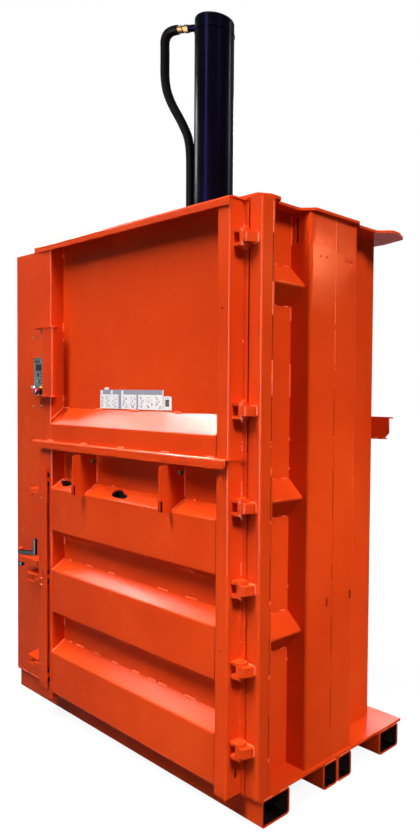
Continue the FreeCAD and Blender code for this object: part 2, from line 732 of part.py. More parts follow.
rail = sheet(rail_path, door_sheet, "YZ", upper_left_in, stile_in)
rail = rail.common(block(upper_left_in, stile_in, -door_depth, 0, shelf_top, rail_top_back + 40))
save("upper_door_rail", [rail])


def ledge(top, reach, drop, left, slant, gap_left, end_round):
    """Closing plate and the folded strip welded along its front edge."""
    path = [(door_sheet, top), (-reach, top), (-reach, top - drop)]
    plate_part = sheet(path, lip_thick, "YZ", -left, stile_out)
    keep_out = block(-left - 1, back_left, -gap_left, 60, top - drop - 1, top + 1)
    plate_part = plate_part.cut(keep_out)
    if slant > 0:
        wedge = prism([(-left - 1, top - 4), (-left + slant, top - drop - 1), (-left - 1, top - drop - 1)],
                      "XZ", -reach - 1, -reach + 40)
        plate_part = plate_part.cut(wedge)
    round_r = end_round
    nick = block(stile_out - round_r, stile_out + 1, -reach - 1, -reach + lip_thick + 1,
                 top - drop - 1, top - drop + round_r)
    nick = nick.cut(rod_y(stile_out - round_r, top - drop + round_r, -reach - 2, -reach + lip_thick + 2, round_r))
    plate_part = plate_part.cut(nick)
    low = top - lip_thick
    weld_line = -reach + lip_thick + bend_inside
    wing = [(stile_out, -reach + 9), (stile_out + 6, -reach + 16), (stile_out + 6, -8, 3), (flange_x, -8, 5)]
    wing += [(flange_x, door_sheet), (stile_out, door_sheet)]
    whole = plate_part.fuse(prism(wing, "XY", low, top)).removeSplitter()
    front_half = block(-left - 2, 0, -reach - 2, weld_line, top - drop - 2, top + 2)
    return [whole.cut(front_half), whole.common(front_half)]


top_ledge = ledge(top_plate_door, top_lip_reach, top_lip, body_width - 25.0, 0.0, 20.0, 3.0)
shelf = ledge(shelf_top, shelf_reach, shelf_lip, body_width - 23.0, 46.0, 20.0, 16.0)
# the stile goes on below the shelf as a short apron, behind the lip
apron_right = stile_out - 13.0
apron_path = [(stile_in, -door_depth + door_sheet + 10), (stile_in, -door_depth), (apron_right, -door_depth)]
apron = sheet(apron_path, door_sheet, "XY", cap_low + 1.5, shelf_low)
save("upper_door_ledges", top_ledge + shelf + [apron])

# handle on the left stile of the upper door
handle_front = door_depth + 24.0
handle_plates = []
plate_end = -stile_left_x - 35.0
grip_x0 = -stile_left_x + 42.0
grip_x1 = -stile_left_x + 140.0
for plate_z in (1815.0, 1503.0):
    pts = [(plate_end, -handle_front + 10, 6), (plate_end + 12, -handle_front, 6), (grip_x1, -handle_front, 12)]
    pts += [(grip_x1 + 12, -handle_front + 14, 8), (grip_x1 + 10, -door_depth + 6, 8)]
    pts += [(upper_left_in + 34, -door_depth + 20, 8), (upper_left_in, -door_depth + 22)]
    pts += [(upper_left_in, -door_depth), (-stile_left_x, -door_depth), (-stile_left_x, -door_depth + 30)]
    pts += [(plate_end, -door_depth + 30, 6)]
    handle_plates.append(prism(pts, "XY", plate_z - 3, plate_z + 3))
grip_path = [(grip_x0, -door_depth), (grip_x0, -handle_front + 4), (grip_x1, -handle_front + 4)]
grip_path.append((grip_x1, -handle_front + 18))
grip_box = sheet(grip_path, 4.0, "XY", 1506.0, 1812.0)
save("upper_door_handle", handle_plates + [grip_box])
save("handle_stop", [block(grip_x0 - 13, grip_x0 - 1, -handle_front + 6, -handle_front + 18, 1786, 1812)])
label = block(-body_middle - 274, -body_middle + 198, -1.5, 0, 1455, 1535)
save("label_plates", [label, block(-body_middle + 201, -body_middle + 253, -1.5, 0, 1456, 1508)])

# lower door
low_stile = sheet(right_hat, -door_sheet, "XY", door_bottom, cap_low - lip_thick)
low_stile = low_stile.cut(rod_y(-134.0, 623.0, -door_depth - 1, -door_depth + door_sheet + 1, 5.0))
low_stile = low_stile.cut(slot_x(-18.0, 166.0, 202.0, 9.0, back_right - 1, stile_out + 1))
lower_left_in = -lower_left_x + lower_left_width
low_left = [(lower_left_in, 0), (lower_left_in, -door_depth), (-lower_left_x, -door_depth), (-lower_left_x, -3)]
low_left.append((-lower_left_x + 12, -3))
low_left_stile = sheet(low_left, -door_sheet, "XY", door_bottom, cap_low - lip_thick)
save("lower_door_stiles", [low_stile, low_left_stile])
save("lower_door_back", [block(back_left, back_right, 0, door_sheet, door_bottom, cap_low - lip_thick)])
low_cap = [(-lower_left_x, -door_depth, 4), (back_right, -door_depth), (back_right, door_sheet)]
low_cap += [(back_left, door_sheet), (back_left, -3), (-lower_left_x, -3)]
cap_end = apron_right + 3
corner_cap = [(cap_end, -door_depth + 2), (cap_end + 2, -door_depth), (stile_out, -door_depth, 8)]
corner_cap += [(stile_out + 4, -door_depth + 12), (stile_out + 4, -5, 3), (flange_x, -5, 4)]
corner_cap += [(flange_x, door_sheet), (cap_end, door_sheet)]
cap_plates = [prism(low_cap, "XY", cap_low - lip_thick, cap_low)]
# the visible corner: its cap stands on a short piece of the same angle as the stile
corner_path = [(flange_x, 0), (stile_out, 0), (stile_out, -door_depth), (apron_right + 3, -door_depth)]
corner = sheet(corner_path, -door_sheet, "XY", cap_low - lip_thick, cap_top - lip_thick)
corner = corner.fuse(prism(corner_cap, "XY", cap_top - lip_thick, cap_top)).removeSplitter()
cap_plates.append(corner)
save("lower_door_caps", cap_plates)


def channel(back_top, front_top, front_low, back_low):
    """Folded stiffening channel across the lower door."""
    rise = (back_top - front_top) / door_depth
    fall = (front_low - back_low) / door_depth
    path = [(10, back_top + 10 * rise), (-door_depth, front_top), (-door_depth, front_low), (10, back_low - 10 * fall)]
    solid = sheet(path, wall_thick, "YZ", lower_left_in, stile_in)
    keep = block(lower_left_in, stile_in, -door_depth - 1, 0, door_bottom, back_top + 30)
    return solid.common(keep)


slope_openings = (
    ((-600, -14), (-588, -4), (-520, -4), (-480, -14), (-474, -26), (-504, -37), (-526, -41), (-562, -30)),
    ((-118, -38), (-130, -22), (-126, -10), (-110, -5), (-84, -7), (-46, -21), (-22, -23), (-2, -34), (-6, -45),
     (-45, -47), (-88, -45)))
channels = []
for index, heights in enumerate(channel_heights):
    piece = channel(*heights)
    if index == 0:
        for shape in slope_openings:
            hole = [(x - body_middle, y, 6) for x, y in shape]
            piece = piece.cut(prism(hole, "XY", heights[1] - 40, heights[0] + 10))
    channels.append(piece)
save("lower_door_channels", channels)

# strap brackets under the shelf
straps = []
bolts = []
for strap_x in (-body_middle - 308.0, -body_middle + 339.0):
    top = cap_low - lip_thick - 1.0
    side = [(-0.5, top), (-106, top, 14), (-110, 1084, 3), (-70, 1081)]
    side += [(-61.5, 1080.6), (-0.5, 1123.2)]
    body = prism(side, "YZ", strap_x - 6, strap_x + 6)
    body = body.cut(block(strap_x - 4, strap_x + 4, -106, 1, 1000, top + 1))
    body = body.cut(block(strap_x - 4, strap_x + 4, -112, -105, 1082, 1124))
    body = body.cut(rod_x(-22, 1224, strap_x - 10, strap_x + 10, 6.5))
    straps.append(body)
    bolt = rod_x(-22, 1224, strap_x - 9, strap_x + 16, 6.0)
    bolt = bolt.fuse(rod_x(-22, 1224, strap_x + 6, strap_x + 12, 9.5))
    bolt = bolt.fuse(rod_x(-22, 1224, strap_x - 14, strap_x - 6, 9.5))
    bolts.append(bolt.removeSplitter())
save("strap_brackets", straps)
save("strap_bolts", bolts)

# ---------------------------------------------------------------------------
# Hinges
# ---------------------------------------------------------------------------
def door_leaf(z0, z1):
    """Flat door leaf, rounded round the pin."""
    r = barrel_radius
    bar = block(stile_out, -hinge_x, -hinge_y - r, -hinge_y + r, z0, z1)
    eye = rod_z(-hinge_x, -hinge_y, z0, z1, r)
    leaf = bar.fuse(eye).removeSplitter()
    return leaf.cut(rod_z(-hinge_x, -hinge_y, z0 - 1, z1 + 1, pin_radius + pin_fit))


def post_leaf(z):
    """Barrel on the post with its welded foot."""
    z0 = z - barrel_height / 2.0
    z1 = z + barrel_height / 2.0
    foot = prism([(-hinge_x, -hinge_y - barrel_radius), (-33, -hinge_y - barrel_radius + 4, 12), (-20, -12, 8),
                  (-20, 0), (-hinge_x + 6, 0), (-hinge_x, -hinge_y + barrel_radius)], "XY", z0, z1)
    eye = rod_z(-hinge_x, -hinge_y, z0, z1, barrel_radius)
    leaf = foot.fuse(eye).removeSplitter()
    return leaf.cut(rod_z(-hinge_x, -hinge_y, z0 - 1, z1 + 1, pin_radius + pin_fit))


def hinge_pin(z):
    low = z - barrel_height / 2.0 - leaf_thick - 11.0
    high = z + barrel_height / 2.0 + leaf_thick + leaf_clear
    return turned_z(-hinge_x, -hinge_y, [
        (0, low), (pin_radius - 2, low), (pin_radius, low + 2), (pin_radius, high + 3), (pin_radius - 2, high + 6),
        (pin_radius - 5, high + 8), (0, high + 9)])


post_leaves = []
hinge_pins = []
for name, places in (("upper", upper_hinges), ("lower", lower_hinges)):
    leaves = []
    for z in places:
        half = barrel_height / 2.0 + leaf_clear
        leaves.append(door_leaf(z + half, z + half + leaf_thick))
        leaves.append(door_leaf(z - half - leaf_thick, z - half))
    save(name + "_door_hinge_leaves", leaves)
    post_leaves += [post_leaf(z) for z in places]
    hinge_pins += [hinge_pin(z) for z in places]
save("post_hinge_leaves", post_leaves)
save("hinge_pins", hinge_pins)

# ---------------------------------------------------------------------------
# Door lock: keepers on the frame, bar with tongues on the door, lever
# ---------------------------------------------------------------------------
lugs = []
keepers = []
lug_end = -body_width + 59.5
for high, low in lock_levels:
    for z in (high, low + lug_thick):
        pts = [(-body_width - 86, 0), (-body_width - 53, -67, 5), (lug_end, -67, 3), (lug_end, 0)]
        plate_lug = prism(pts, "XY", z - lug_thick, z)
        lugs.append(plate_lug.cut(rod_z(-keeper_x, -keeper_y, z - lug_thick - 1, z + 1, keeper_radius + 0.05)))
    keepers.append(rod_z(-keeper_x, -keeper_y, low - 4, high + 4, keeper_radius))
save("lock_keepers", lugs + keepers)

lock_back = -lock_front + lock_thick
bar_plate = block(-lock_left, -lock_right, -lock_front, lock_back, lock_low, lock_high)
bar_plate = bar_plate.cut(slot_y(-body_width + 138.0, 722.0, 746.0, 6.0, -lock_front - 1, lock_back + 1))
knuckle_r = 4.2
rod_r = 2.4


def knuckle(z0, z1, toward):
    """Small hinge eye joined to a face at depth toward."""
    eye = rod_z(-lock_axis_x, -lock_axis_y, z0, z1, knuckle_r)
    y0, y1 = min(toward, -lock_axis_y), max(toward, -lock_axis_y)
    neck = block(-lock_axis_x - 3.5, -lock_axis_x + 3.5, y0, y1, z0, z1)
    whole = eye.fuse(neck).removeSplitter()
    return whole.cut(rod_z(-lock_axis_x, -lock_axis_y, z0 - 1, z1 + 1, rod_r + 0.05))


knuckle_levels = (200.0, 660.0, 1110.0)
plate_knuckles = []
door_knuckles = []
for z in knuckle_levels:
    plate_knuckles.append(knuckle(z, z + 20, lock_back))
    door_knuckles.append(knuckle(z - 20.4, z - 0.4, -door_depth))
    door_knuckles.append(knuckle(z + 20.4, z + 40.4, -door_depth))
save("lock_plate", [bar_plate.multiFuse(plate_knuckles).removeSplitter()])
rods = []
for z in knuckle_levels:
    rods.append(rod_z(-lock_axis_x, -lock_axis_y, z - 24, z + 44, rod_r))
save("lock_hinge", door_knuckles + rods)
# each tongue: a bridge on the plate edge and two fingers, one on each side of the pin
tongues = []
finger_gap = keeper_radius + 1.5
bridge_back = -keeper_y - 17.0
for high, low in lock_levels:
    z0 = (high + low) / 2.0 - 8.0
    z1 = z0 + 16.0
    tongue_end = -keeper_x - 14.0
    tongues.append(block(tongue_end, -lock_left, -lock_front, -lock_front + 9, z0, z1))
    tongues.append(block(tongue_end, lug_end + 1, -lock_front + 9, bridge_back, z0, z1))
    tongues.append(block(tongue_end, -keeper_x - finger_gap, bridge_back, -keeper_y, z0, z1))
    tongues.append(block(-keeper_x + finger_gap, lug_end + 1, bridge_back, -keeper_y, z0, z1))
save("lock_tongues", tongues)

lever_end = -lever_x - 14.0
shelf_end = -body_width + 51.0
shelf_pts = [(lever_end, -67, 9), (shelf_end, -67, 3), (shelf_end, 0), (-body_width - 15, 0), (lever_end, -39, 9)]
lever_plate = prism(shelf_pts, "XY", lever_shelf[0], lever_shelf[1])
lever_plate = lever_plate.cut(rod_z(-lever_x, -lever_y, lever_shelf[0] - 1, lever_shelf[1] + 1, 6.06))
save("lever_bracket", [lever_plate])
low_z, high_z = lever_shelf
spindle = turned_z(-lever_x, -lever_y, [
    (0, low_z - 26), (9, low_z - 26), (14, low_z - 20), (14, low_z - 6), (9, low_z - 0.4), (6, low_z - 0.4),
    (6, high_z + 22), (0, high_z + 22)])
arm_pts = [(-15, -9, 8), (arm_reach + 9, -9, 8), (arm_reach + 9, 9, 8), (-15, 9, 8)]
arm = prism(arm_pts, "XY", high_z + 4, high_z + 22)
arm.rotate(V(0, 0, 0), V(0, 0, 1), arm_turn)
arm.translate(V(-lever_x, -lever_y, 0))
arm = arm.cut(rod_z(-lever_x, -lever_y, high_z, high_z + 30, 6.05))
grip_x = -lever_x + arm_reach * math.cos(math.radians(arm_turn))
grip_y = -lever_y + arm_reach * math.sin(math.radians(arm_turn))
grip = turned_z(grip_x, grip_y, [
    (0, high_z + 10), (9, high_z + 10), (9, high_z + 77), (7, high_z + 81), (3.5, high_z + 84), (0, high_z + 84)])
save("lock_lever", [arm.fuse(grip).removeSplitter(), spindle])
head = turned_z(-lever_x, -lever_y, [
    (0, high_z + 22), (7, high_z + 22), (12.5, high_z + 26), (13.5, high_z + 31), (11, high_z + 37), (5, high_z + 40),
    (0, high_z + 41)])
save("lever_head", [head])
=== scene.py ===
import json
import math

import bpy
import numpy as np
from mathutils import Matrix, Vector


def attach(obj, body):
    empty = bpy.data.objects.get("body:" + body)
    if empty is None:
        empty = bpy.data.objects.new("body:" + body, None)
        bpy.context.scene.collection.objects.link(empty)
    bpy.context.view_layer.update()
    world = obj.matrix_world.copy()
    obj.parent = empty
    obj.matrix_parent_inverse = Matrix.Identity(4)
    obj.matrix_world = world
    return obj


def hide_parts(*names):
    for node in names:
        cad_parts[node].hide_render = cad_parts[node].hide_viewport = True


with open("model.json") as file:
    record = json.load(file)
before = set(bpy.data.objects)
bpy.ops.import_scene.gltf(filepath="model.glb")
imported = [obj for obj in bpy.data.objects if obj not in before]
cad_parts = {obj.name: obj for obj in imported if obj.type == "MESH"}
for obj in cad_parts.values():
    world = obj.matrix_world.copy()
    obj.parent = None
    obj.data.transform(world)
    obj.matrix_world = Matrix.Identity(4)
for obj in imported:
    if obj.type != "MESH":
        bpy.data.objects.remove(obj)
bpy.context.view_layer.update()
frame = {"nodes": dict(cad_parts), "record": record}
nodes = frame["nodes"]

# The part is laid out from the right front corner of the body, in millimetres:
# X = 0 on the right outer face, Y = 0 on the door back sheets, Z = 0 on the ground.
OX, OY = 0.940, -0.445

BEAD_SWELL = 1.5          # a laid bead is this much thicker than its given radius
BEAD_SIDES = 8
TUBE_SIDES = 16           # sides of the lining of a square tube
FLOOR_SIZE = 60.0
PHOTO_WIDTH, PHOTO_HEIGHT = 420.0, 840.0
SENSOR = 36.0


def at(x, y, z):
    """A place in millimetres of the layout frame, as metres in the part's frame."""
    return Vector((x / 1000.0 + OX, y / 1000.0 + OY, z / 1000.0))


# ---------------------------------------------------------------------------
# Materials
# ---------------------------------------------------------------------------
def colour(text):
    """Hex sRGB colour turned to linear RGBA."""
    out = []
    for k in (0, 2, 4):
        c = int(text[k:k + 2], 16) / 255.0
        out.append(c / 12.92 if c <= 0.04045 else ((c + 0.055) / 1.055) ** 2.4)
    return (out[0], out[1], out[2], 1.0)


def add(tree, kind, **values):
    """One node; keys are input names with _ for space, or i0, i1 for input numbers."""
    node = tree.nodes.new(kind)
    for key, value in values.items():
        if key[0] == "i" and key[1:].isdigit():
            socket = node.inputs[int(key[1:])]
        elif hasattr(node, key):
            setattr(node, key, value)
            continue
        else:
            socket = node.inputs[key.replace("_", " ")]
        if isinstance(value, bpy.types.NodeSocket):
            tree.links.new(value, socket)
        else:
            socket.default_value = value
    return node


def new_material(name):
    """Empty material with a Principled shader on its output, and its object coordinates."""
    mat = bpy.data.materials.new(name)
    mat.use_nodes = True
    tree = mat.node_tree
    tree.nodes.clear()
    out = add(tree, "ShaderNodeOutputMaterial")
    shader = add(tree, "ShaderNodeBsdfPrincipled")
    tree.links.new(shader.outputs[0], out.inputs[0])
    coords = add(tree, "ShaderNodeTexCoord").outputs["Object"]
    return mat, tree, shader, coords


def noise(tree, coords, scale, detail=2.0, rough=0.5):
    return add(tree, "ShaderNodeTexNoise", Vector=coords, Scale=scale, Detail=detail, Roughness=rough).outputs[0]


def ramp(tree, fac, stops):
    """Colour ramp from (place, colour) stops."""
    node = add(tree, "ShaderNodeValToRGB", Fac=fac)
    items = node.color_ramp.elements
    while len(items) < len(stops):
        items.new(0.5)
    for item, (place, value) in zip(items, stops):
        item.position = place
        item.color = value if len(value) == 4 else (value[0], value[1], value[2], 1.0)
    return node.outputs[0]


def gray(v):
    return (v, v, v, 1.0)


def bump(tree, shader, height, strength, distance):
    node = add(tree, "ShaderNodeBump", Height=height, Strength=strength, Distance=distance)
    tree.links.new(node.outputs[0], shader.inputs["Normal"])


def paint(name, base, deep, pale, rough=0.23, peel=0.08, shine=0.006, sheen=(1.0, 1.0, 1.0, 1.0)):
    """Sprayed enamel: broad tone drift, fine orange peel, slightly uneven gloss."""
    mat, tree, shader, coords = new_material(name)
    drift = noise(tree, coords, 2.2, 3.0)
    tree.links.new(ramp(tree, drift, [(0.3, colour(deep)), (0.52, colour(base)), (0.75, colour(pale))]),
                   shader.inputs["Base Color"])
    gloss = noise(tree, coords, 9.0, 4.0, 0.6)
    tree.links.new(ramp(tree, gloss, [(0.3, gray(rough - 0.05)), (0.7, gray(rough + 0.07))]),
                   shader.inputs["Roughness"])
    shader.inputs["Specular IOR Level"].default_value = shine
    shader.inputs["Specular Tint"].default_value = sheen
    bump(tree, shader, noise(tree, coords, 420.0, 2.0), peel, 0.0004)
    return mat


def plastic(name, base, rough=0.45, grain=900.0, strength=0.15, shine=0.05):
    """Moulded or printed surface: even colour with a faint tone and a fine grain."""
    mat, tree, shader, coords = new_material(name)
    tone = noise(tree, coords, 40.0, 3.0)
    mixed = add(tree, "ShaderNodeMixRGB", blend_type="MULTIPLY", i0=0.25, i1=colour(base),
                i2=ramp(tree, tone, [(0.3, gray(0.75)), (0.7, gray(1.0))]))
    tree.links.new(mixed.outputs[0], shader.inputs["Base Color"])
    shader.inputs["Roughness"].default_value = rough
    shader.inputs["Specular IOR Level"].default_value = shine
    bump(tree, shader, noise(tree, coords, grain, 2.0), strength, 0.0002)
    return mat


def metal(name, base, rough=0.3, brushed=(1.0, 1.0, 30.0)):
    """Worked metal with fine lines stretched by the brushed scales."""
    mat, tree, shader, coords = new_material(name)
    place = add(tree, "ShaderNodeMapping", Vector=coords)
    place.inputs["Scale"].default_value = brushed
    lines = noise(tree, place.outputs[0], 60.0, 3.0)
    tree.links.new(ramp(tree, lines, [(0.3, gray(rough - 0.08)), (0.7, gray(rough + 0.1))]),
                   shader.inputs["Roughness"])
    shader.inputs["Base Color"].default_value = colour(base)
    shader.inputs["Metallic"].default_value = 1.0
    bump(tree, shader, lines, 0.08, 0.0002)
    return mat


materials = {
    "orange_paint": paint("enamel_orange_red", "D43F12", "CC3A0F", "DA4616"),
    "cylinder_paint": paint("enamel_blue_black", "07060C", "050408", "0C0A16", rough=0.24, peel=0.05,
                            sheen=(0.10, 0.07, 1.0, 1.0)),
    "tank_paint": paint("enamel_grey", "5E6266", "54585C", "6A6E72", shine=0.3),
    "bare_steel": metal("turned_steel", "6C7074", 0.4),
    "plated_steel": metal("zinc_yellow_plate", "21170C", 0.5),
    "rod_chrome": metal("hard_chrome", "D8D8DC", 0.12),
    "hose_rubber": plastic("sleeved_rubber_black", "080708", 0.5, 700.0, 0.4, 0.003),
    "panel_grey": plastic("panel_film_grey", "5C696C", 0.42),
    "display_glass": plastic("display_black", "0C1011", 0.15, 200.0, 0.02, 0.04),
    "bezel_black": plastic("moulded_black", "0D0D0D", 0.38),
    "stop_yellow": plastic("moulded_yellow", "F2C715", 0.32),
    "stop_red": plastic("moulded_red", "A82234", 0.30),
    "button_green": plastic("moulded_green", "58A24A", 0.30),
    "black_plastic": plastic("moulded_black_grip", "0A0A0A", 0.42),
    "label_film": plastic("label_film_white", "E4E4E4", 0.40),
    "guide_plastic": plastic("guide_pad_white", "D8D8D0", 0.50),
}
# Weld beads wear a lighter copy of the orange enamel: a painted highlight where the beads catch the light.
weld_highlight_paint = paint("enamel_over_weld_painted_highlight", "F4683C", "E85828", "FC8054", rough=0.3, peel=0.0, shine=0.01)
seam_dark = plastic("seam_shadow", "2A0B05", 0.8, 300.0, 0.1, 0.0)
for part in frame["record"]["subparts"]:
    slots = nodes[part["node"]].data.materials
    slots.clear()
    slots.append(materials[part["material_slot"]])

# ---------------------------------------------------------------------------
# Mesh helpers
# ---------------------------------------------------------------------------
def piece(name, heap, slot, body, smooth=True, finish=None):
    """One mesh object from a heap (metres, part frame), with its finish and body."""
    mesh = bpy.data.meshes.new(name)
    mesh.from_pydata([tuple(map(float, v)) for v in heap.verts], [], [tuple(map(int, f)) for f in heap.faces])
    if smooth:
        mesh.polygons.foreach_set("use_smooth", [True] * len(mesh.polygons))
    obj = bpy.data.objects.new(name, mesh)
    bpy.context.scene.collection.objects.link(obj)
    mesh.materials.append(finish or materials[slot])
    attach(obj, body)
    return obj


def grid_faces(rows, cols, first=0, closed=True):
    """Quads of a rows x cols grid of vertices, closed round the columns."""
    faces = []
    for i in range(rows - 1):
        for j in range(cols if closed else cols - 1):
            k = (j + 1) % cols
            a = first + i * cols
            faces.append((a + j, a + cols + j, a + cols + k, a + k))
    return faces


class Heap:
    """Vertices and faces of many small forms gathered into one mesh."""

    def __init__(self):
        self.verts = []
        self.faces = []

    def take(self, verts, faces):
        first = len(self.verts)
        self.verts += [tuple(v) for v in verts]
        self.faces += [tuple(i + first for i in face) for face in faces]


def bead(heap, start, end, radius, seed, pitch=5.0):
    """Weld bead: a tube of radius r(t) = radius (1 + 0.22 |sin(pi t / pitch)| + noise), with rounded ends."""
    rng = np.random.default_rng(int(seed))
    radius = radius * BEAD_SWELL
    p = np.array(start, float)
    q = np.array(end, float)
    length = float(np.linalg.norm(q - p))
    d = (q - p) / max(length, 1e-6)
    side = np.cross(d, (0.31, 0.72, 0.62))
    side /= np.linalg.norm(side)
    other = np.cross(d, side)
    steps = max(6, int(length / pitch * 4))
    t = np.linspace(0.0, 1.0, steps + 1)
    wave = np.abs(np.sin(np.pi * t * max(1, round(length / pitch))))
    wobble = np.interp(t, np.linspace(0, 1, 9), rng.normal(0.0, 0.10, 9))
    taper = np.sqrt(np.clip(1.0 - np.clip(np.abs(t - 0.5) * length - (length / 2 - radius), 0, radius) ** 2
                            / radius ** 2, 0.02, 1.0))
    r = radius * (0.85 + 0.22 * wave + wobble) * taper
    ring = np.linspace(0, 2 * np.pi, BEAD_SIDES + 1)[:-1]
    verts = []
    for k in range(steps + 1):
        centre = p + d * length * t[k]
        for a in ring:
            verts.append(centre + r[k] * (side * np.cos(a) + other * np.sin(a)))
    verts = [at(*v) for v in verts]
    last = steps * BEAD_SIDES
    faces = grid_faces(steps + 1, BEAD_SIDES)
    faces.append(tuple(range(BEAD_SIDES)))
    faces.append(tuple(range(last, last + BEAD_SIDES))[::-1])
    heap.take(verts, faces)


def slab(heap, x0, x1, y0, y1, z0, z1, soft=0.4):
    """Small plate with softened front edges (its front face set in by soft, with a slanted rim round it)."""
    pts = []
    for y, s in ((y1, 0.0), (y0 + soft, 0.0), (y0, soft)):
        pts += [(x0 + s, y, z0 + s), (x1 - s, y, z0 + s), (x1 - s, y, z1 - s), (x0 + s, y, z1 - s)]
    faces = grid_faces(3, 4)
    faces.append((8, 9, 10, 11))
    faces.append((3, 2, 1, 0))
    heap.take([at(*p) for p in pts], faces)


def strip_along(heap, x, y, z0, z1, across, proud=0.25, half=0.8):
    """Thin upright strip of a joint line, half wide each way along the axis named across."""
    corners = ((0, -1), (1, -1), (1, 1), (0, 1))
    if across == "y":
        pts = [(x + i * proud, y + j * half, z) for z in (z0, z1) for i, j in corners]
    else:
        pts = [(x + j * half, y - i * proud, z) for z in (z0, z1) for i, j in corners]
    heap.take([at(*p) for p in pts], grid_faces(2, 4) + [(3, 2, 1, 0), (4, 5, 6, 7)])


def sleeve(heap, y0, y1, z0, z1, corner, x0, x1, thick=0.4):
    """Lining of a square tube along X: rounded outline y0..y1 by z0..z1, thick inward, from x0 to x1."""
    rows = []
    for x, inset in ((x0, 0.0), (x0, thick), (x1, thick), (x1, 0.0), (x0, 0.0)):
        for k in range(TUBE_SIDES):
            turn = (k // 4) * 90.0 + (k % 4) * 30.0
            cy = (y1 - corner) if turn < 90 or turn >= 270 else (y0 + corner)
            cz = (z1 - corner) if turn < 180 else (z0 + corner)
            a = math.radians(turn)
            r = corner - inset
            rows.append((x, cy + r * math.cos(a), cz + r * math.sin(a)))
    heap.take([at(*v) for v in rows], grid_faces(5, TUBE_SIDES))


# ---------------------------------------------------------------------------
# Weld beads and stitches, as they show in the photograph, with painted highlight lines and painted shade pieces
# ---------------------------------------------------------------------------
frame_welds_and_highlight_lines = Heap()
# stitches of the front post, of the stiffeners' wall and of the column's seam
for z0, z1 in ((2079, 2186), (1796, 1912), (1518, 1642), (1353, 1361), (1338, 1347), (1244, 1268), (1071, 1084),
               (788, 803), (523, 540), (230, 244)):
    bead(frame_welds_and_highlight_lines, (-0.3, 48, z0), (-0.3, 48, z1), 2.1, z0)
for z0, z1 in ((2084, 2195), (1801, 1854), (1516, 1640), (1349, 1365), (1239, 1250), (788, 800), (504, 519)):
    bead(frame_welds_and_highlight_lines, (-118.5, 239.5, z0), (-118.5, 239.5, z1), 2.8, z0)
# long thin beads on the column's seam: a painted highlight of the seam's bent edge, no weld
bead(frame_welds_and_highlight_lines, (-14, 373.5, 1892), (-14, 373.5, 2196), 1.3, 5, 40.0)
bead(frame_welds_and_highlight_lines, (-14, 373.5, 1640), (-14, 373.5, 1780), 1.3, 6, 40.0)
for z0, z1 in ((1796, 1890), (1620, 1632), (1560, 1575), (1362, 1368), (799, 805)):
    bead(frame_welds_and_highlight_lines, (-14, 373.5, z0), (-14, 373.5, z1), 1.5, z0)
for top, foot in ((2001, 1853), (1207, 1066), (705, 562)):
    for z in (top + 1, foot - 1):
        for y0 in (78, 140, 202):
            bead(frame_welds_and_highlight_lines, (-118.0, y0, z), (-118.0, y0 + 26, z), 2.4, int(z) + y0)
for z in (2055, 1465, 1131, 847, 564, 280):
    for dz in (17, -17):
        bead(frame_welds_and_highlight_lines, (-56, -0.5, z + dz), (-21, -0.5, z + dz), 2.2, int(z + dz))
    bead(frame_welds_and_highlight_lines, (-19.6, -1, z - 16), (-19.6, -1, z + 16), 2.4, int(z))
for x in (-1700, -1330, -960, -590, -220):
    bead(frame_welds_and_highlight_lines, (x, 22, 100.3), (x + 60, 22, 100.3), 2.2, -x)
for y0, y1 in ((30, 70), (100, 140), (340, 392), (418, 470), (680, 720), (742, 780)):
    bead(frame_welds_and_highlight_lines, (-1.0, y0, 100.5), (-1.0, y1, 100.5), 2.0, y0)
# thin beads on two stiffener ridges: painted highlight lines, no weld
bead(frame_welds_and_highlight_lines, (-44.0, 92, 1927), (-44.0, 172, 1927), 0.9, 3, 60.0)
bead(frame_welds_and_highlight_lines, (-44.0, 96, 1142), (-44.0, 137, 1142), 0.9, 4, 60.0)
for x in (-40, -90):
    bead(frame_welds_and_highlight_lines, (x, 733, 1345), (x - 26, 733, 1345), 2.4, -x)
# long smooth bead along the cabinet's foot: a painted highlight of its bottom fold
bead(frame_welds_and_highlight_lines, (-1866, 1.5, 110.5), (-1556, 1.5, 110.5), 2.0, 77, 60.0)
piece("frame_welds_and_highlight_lines", frame_welds_and_highlight_lines, "orange_paint", "frame", True, weld_highlight_paint)

seams = Heap()
for z0, z1 in ((1912, 2078), (1642, 1796), (1361, 1518), (1084, 1236), (803, 958), (540, 675), (244, 398)):
    strip_along(seams, 0.0, 46.8, z0, z1, "y", 0.25, 1.1)
for z0, z1 in ((1367, 1507), (1044, 1241), (804, 865), (515, 668), (230, 389)):
    strip_along(seams, -13.5, 372.2, z0, z1, "y", 0.25, 0.9)
piece("frame_seams", seams, "orange_paint", "frame", False, seam_dark)

upper_welds = Heap()
for x0, x1 in ((-818, -750), (-500, -460), (-1090, -1045), (-1375, -1330)):
    bead(upper_welds, (x0, -1.5, 1449.5), (x1, -1.5, 1449.5), 3.0, -x0)
for x in (-1377, -1078, -781, -472, -198):
    bead(upper_welds, (x - 24, -61.0, 1299.0), (x + 24, -61.0, 1299.0), 3.2, -x)
for z0, z1 in ((1352, 1359), (1321, 1345), (1309, 1315), (1700, 1712), (2100, 2112)):
    bead(upper_welds, (-97, -0.8, z0), (-97, -0.8, z1), 2.2, z0)
for z in (2055, 1465):
    for dz in (23, -23):
        bead(upper_welds, (-97, -42, z + dz), (-97, -8, z + dz), 2.0, z + dz)
for z0, z1 in ((2142, 2156), (1801, 1842), (1755, 1773), (1480, 1509), (1446, 1462)):
    bead(upper_welds, (-1382.6, -1, z0), (-1382.6, -1, z1), 2.6, z0)
# bead up the slope's left end: a weld whose lighter enamel paints a highlight line along this edge
bead(upper_welds, (-1381, -58, 1396), (-1381, -2, 1449), 2.4, 31)
upper_seams = Heap()
strip_along(upper_seams, -72.0, 2.2, 1320, 2165, "y", 0.25, 1.5)
strip_along(upper_seams, -95.6, -0.1, 1370, 2035, "x", 0.25, 1.2)
piece("upper_door_seams", upper_seams, "orange_paint", "upper_door", False, seam_dark)
piece("upper_door_welds", upper_welds, "orange_paint", "upper_door", True, weld_highlight_paint)

